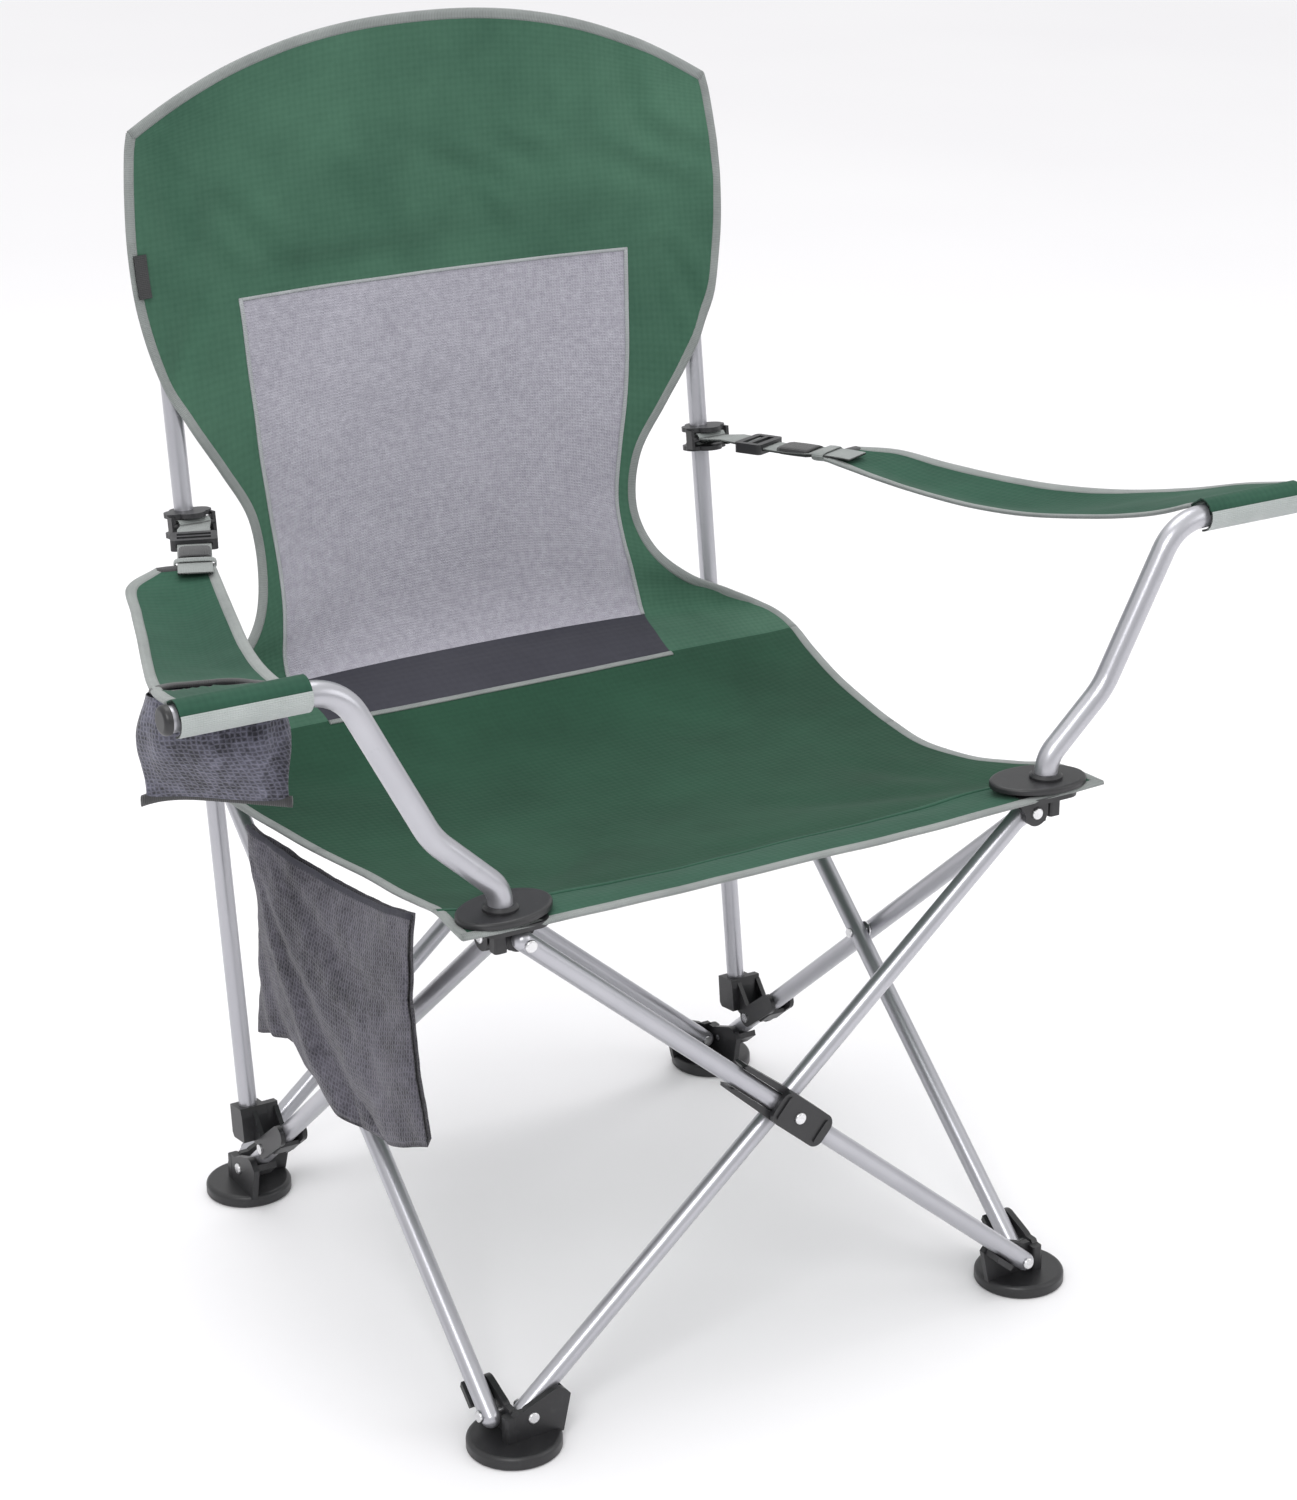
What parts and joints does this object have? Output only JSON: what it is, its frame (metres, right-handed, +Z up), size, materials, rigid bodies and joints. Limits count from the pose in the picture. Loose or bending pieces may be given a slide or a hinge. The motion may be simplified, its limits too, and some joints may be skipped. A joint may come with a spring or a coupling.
{
  "type": "folding camp chair",
  "caption": "Folding camp chair: scissor tube frame with round feet, tall reclined fabric back with a mesh window, sagging fabric arm rests, net cup holder and side pocket.",
  "frame": {"origin": "middle of the chair's outer box, on the ground", "axes": "+Z up, the chair faces -Y, +X is to the right seen from the front"},
  "size_m": [1.0122, 0.6188, 1.0171],
  "materials": {
    "frame_tube": "satin grey powder coat",
    "rivet": "plain",
    "black_plastic": "fine moulded grain",
    "seat_fabric": "plain-woven polyester",
    "back_fabric": "plain-woven polyester",
    "light_mesh": "open mesh",
    "grey_fabric": "plain weave",
    "pocket_net": "net",
    "webbing": "ribbed webbing"
  },
  "bodies": {
    "foot_rear_left": {"foot_rear_left": "black_plastic", "foot_rivets_rear_left": "rivet"},
    "foot_rear_right": {"foot_rear_right": "black_plastic", "foot_rivets_rear_right": "rivet"},
    "foot_front_left": {"foot_front_left": "black_plastic", "foot_rivets_front_left": "rivet"},
    "foot_front_right": {"foot_front_right": "black_plastic", "foot_rivets_front_right": "rivet"},
    "leg_rear_outer": {"leg_tube_rear_outer": "frame_tube", "cross_pin_rear": "rivet"},
    "leg_rear_inner": {"leg_tube_rear_inner": "frame_tube"},
    "leg_front_outer": {"leg_tube_front_outer": "frame_tube", "cross_pin_front": "rivet", "cross_bracket": "black_plastic"},
    "leg_front_inner": {"leg_tube_front_inner": "frame_tube"},
    "leg_left_outer": {"leg_tube_left_outer": "frame_tube", "cross_pin_left": "rivet"},
    "leg_left_inner": {"leg_tube_left_inner": "frame_tube"},
    "leg_right_outer": {"leg_tube_right_outer": "frame_tube", "cross_pin_right": "rivet"},
    "leg_right_inner": {"leg_tube_right_inner": "frame_tube"},
    "slider_left": {"post_slider_left": "black_plastic", "slider_rivets_left": "rivet", "side_pocket": "pocket_net"},
    "slider_right": {"post_slider_right": "black_plastic", "slider_rivets_right": "rivet"},
    "hub_left": {"front_hub_left": "black_plastic", "hub_fasteners_left": "rivet", "seat_plate_left": "black_plastic", "arm_tube_left": "frame_tube", "arm_cap_left": "black_plastic", "seat_hem": "seat_fabric"},
    "hub_right": {"front_hub_right": "black_plastic", "hub_fasteners_right": "rivet", "seat_plate_right": "black_plastic", "arm_tube_right": "frame_tube", "arm_cap_right": "black_plastic"},
    "post_left": {"back_post_left": "frame_tube", "post_cap_left": "black_plastic", "post_shoe_left": "black_plastic", "shoe_rivet_left": "rivet", "back_panel": "back_fabric", "back_mesh": "light_mesh", "lumbar_strip": "grey_fabric"},
    "post_right": {"back_post_right": "frame_tube", "post_cap_right": "black_plastic", "post_shoe_right": "black_plastic", "shoe_rivet_right": "rivet"},
    "collar_left": {"arm_collar_left": "black_plastic"},
    "collar_right": {"arm_collar_right": "black_plastic"},
    "seat_front": {"seat_front": "seat_fabric"},
    "seat_rear": {"seat_rear": "seat_fabric"},
    "arm_left": {"arm_strap_left": "webbing", "arm_rest_left": "back_fabric", "cup_net": "pocket_net"},
    "arm_right": {"arm_strap_right": "webbing", "arm_rest_right": "back_fabric"},
    "buckle_left": {"strap_buckle_left": "black_plastic"},
    "buckle_right": {"strap_buckle_right": "black_plastic"}
  },
  "joints": [
    {"name": "fold", "type": "hinge", "parent": "foot_rear_left", "child": "leg_rear_outer", "pos_m": [-0.236, 0.23715, 0.028], "axis": [0, -1, 0], "range_deg": [0, 41], "deforming": ["seat_hem", "seat_front", "seat_rear", "back_panel", "back_mesh", "lumbar_strip", "arm_rest_left", "arm_rest_right", "cup_net", "side_pocket", "arm_strap_left", "arm_strap_right"]},
    {"name": "foot_rear_left_to_left_inner", "type": "hinge", "parent": "foot_rear_left", "child": "leg_left_inner", "pos_m": [-0.2445, 0.21065, 0.028], "axis": [-1, 0, 0], "range_deg": [0, 41]},
    {"name": "cross_rear", "type": "hinge", "parent": "leg_rear_outer", "child": "leg_rear_inner", "pos_m": [0, 0.22815, 0.23055], "axis": [0, 1, 0], "range_deg": [0, 82]},
    {"name": "slider_right_tilt", "type": "hinge", "parent": "leg_rear_outer", "child": "slider_right", "pos_m": [0.236, 0.23715, 0.43309], "axis": [0, 1, 0], "range_deg": [0, 41]},
    {"name": "foot_rear_right_tilt", "type": "hinge", "parent": "leg_rear_inner", "child": "foot_rear_right", "pos_m": [0.236, 0.21915, 0.028], "axis": [0, -1, 0], "range_deg": [0, 41]},
    {"name": "slider_left_tilt", "type": "hinge", "parent": "leg_rear_inner", "child": "slider_left", "pos_m": [-0.236, 0.21915, 0.43309], "axis": [0, -1, 0], "range_deg": [0, 41]},
    {"name": "foot_rear_right_to_right_outer", "type": "hinge", "parent": "foot_rear_right", "child": "leg_right_outer", "pos_m": [0.2625, 0.21065, 0.028], "axis": [-1, 0, 0], "range_deg": [0, 41]},
    {"name": "cross_left", "type": "hinge", "parent": "leg_left_inner", "child": "leg_left_outer", "pos_m": [-0.2535, -0.02535, 0.23055], "axis": [1, 0, 0], "range_deg": [0, 82]},
    {"name": "hub_left_tilt", "type": "hinge", "parent": "leg_left_inner", "child": "hub_left", "pos_m": [-0.2445, -0.26135, 0.43309], "axis": [1, 0, 0], "range_deg": [0, 41]},
    {"name": "foot_front_left_tilt", "type": "hinge", "parent": "leg_left_outer", "child": "foot_front_left", "pos_m": [-0.2625, -0.26135, 0.028], "axis": [-1, 0, 0], "range_deg": [0, 41]},
    {"name": "cross_right", "type": "hinge", "parent": "leg_right_outer", "child": "leg_right_inner", "pos_m": [0.2535, -0.02535, 0.23055], "axis": [1, 0, 0], "range_deg": [0, 82]},
    {"name": "hub_right_tilt", "type": "hinge", "parent": "leg_right_outer", "child": "hub_right", "pos_m": [0.2625, -0.26135, 0.43309], "axis": [1, 0, 0], "range_deg": [0, 41]},
    {"name": "foot_front_right_tilt", "type": "hinge", "parent": "leg_right_inner", "child": "foot_front_right", "pos_m": [0.2445, -0.26135, 0.028], "axis": [-1, 0, 0], "range_deg": [0, 41]},
    {"name": "foot_front_left_to_front_inner", "type": "hinge", "parent": "foot_front_left", "child": "leg_front_inner", "pos_m": [-0.236, -0.26985, 0.028], "axis": [0, -1, 0], "range_deg": [0, 41]},
    {"name": "foot_front_right_to_front_outer", "type": "hinge", "parent": "foot_front_right", "child": "leg_front_outer", "pos_m": [0.236, -0.28785, 0.028], "axis": [0, 1, 0], "range_deg": [0, 41]},
    {"name": "post_left_lean", "type": "hinge", "parent": "leg_left_inner", "child": "post_left", "pos_m": [-0.2445, 0.16512, 0.06708], "axis": [1, 0, 0], "range_deg": [0, 47.35]},
    {"name": "post_right_lean", "type": "hinge", "parent": "leg_right_outer", "child": "post_right", "pos_m": [0.2625, 0.16512, 0.06708], "axis": [1, 0, 0], "range_deg": [0, 47.35]},
    {"name": "seat_front_drop", "type": "hinge", "parent": "hub_left", "child": "seat_front", "pos_m": [0, -0.24035, 0.45114], "axis": [-1, 0, 0], "range_deg": [0, 72.86]},
    {"name": "seat_rear_drop", "type": "hinge", "parent": "slider_left", "child": "seat_rear", "pos_m": [0, 0.18965, 0.45114], "axis": [1, 0, 0], "range_deg": [0, 72.86]},
    {"name": "arm_left_swing", "type": "hinge", "parent": "collar_left", "child": "arm_left", "pos_m": [-0.2555, 0.23922, 0.6204], "axis": [-1, 0, 0], "range_deg": [0, 61.5]},
    {"name": "arm_right_swing", "type": "hinge", "parent": "collar_right", "child": "arm_right", "pos_m": [0.2555, 0.23922, 0.6204], "axis": [-1, 0, 0], "range_deg": [0, 61.5]},
    {"name": "collar_left_rise", "type": "slide", "parent": "post_left", "child": "collar_left", "axis": [0, 0.1256, 0.9921], "range_m": [0, 0.031]},
    {"name": "collar_right_rise", "type": "slide", "parent": "post_right", "child": "collar_right", "axis": [0, 0.1256, 0.9921], "range_m": [0, 0.031]},
    {"name": "strap_left_adjust", "type": "slide", "parent": "arm_left", "child": "buckle_left", "axis": [-0.392, -0.9193, 0.036], "range_m": [-0.014, 0.026]},
    {"name": "strap_right_adjust", "type": "slide", "parent": "arm_right", "child": "buckle_right", "axis": [0.392, -0.9193, 0.036], "range_m": [-0.014, 0.026]}
  ],
  "couplings": [
    {"joint": "foot_rear_left_to_left_inner", "follows": "fold", "ratio": 1},
    {"joint": "cross_rear", "follows": "fold", "ratio": 2},
    {"joint": "slider_right_tilt", "follows": "fold", "ratio": 1},
    {"joint": "foot_rear_right_tilt", "follows": "fold", "ratio": 1},
    {"joint": "slider_left_tilt", "follows": "fold", "ratio": 1},
    {"joint": "foot_rear_right_to_right_outer", "follows": "fold", "ratio": 1},
    {"joint": "cross_left", "follows": "fold", "ratio": 2},
    {"joint": "hub_left_tilt", "follows": "fold", "ratio": 1},
    {"joint": "foot_front_left_tilt", "follows": "fold", "ratio": 1},
    {"joint": "cross_right", "follows": "fold", "ratio": 2},
    {"joint": "hub_right_tilt", "follows": "fold", "ratio": 1},
    {"joint": "foot_front_right_tilt", "follows": "fold", "ratio": 1},
    {"joint": "foot_front_left_to_front_inner", "follows": "fold", "ratio": 1},
    {"joint": "foot_front_right_to_front_outer", "follows": "fold", "ratio": 1},
    {"joint": "post_left_lean", "follows": "fold", "ratio": 1.155},
    {"joint": "post_right_lean", "follows": "fold", "ratio": 1.155},
    {"joint": "seat_front_drop", "follows": "fold", "ratio": 1.777},
    {"joint": "seat_rear_drop", "follows": "fold", "ratio": 1.777},
    {"joint": "arm_left_swing", "follows": "fold", "ratio": 1.5},
    {"joint": "arm_right_swing", "follows": "fold", "ratio": 1.5},
    {"joint": "collar_left_rise", "follows": "fold", "m_per_rad": 0.043321},
    {"joint": "collar_right_rise", "follows": "fold", "m_per_rad": 0.043321}
  ]
}
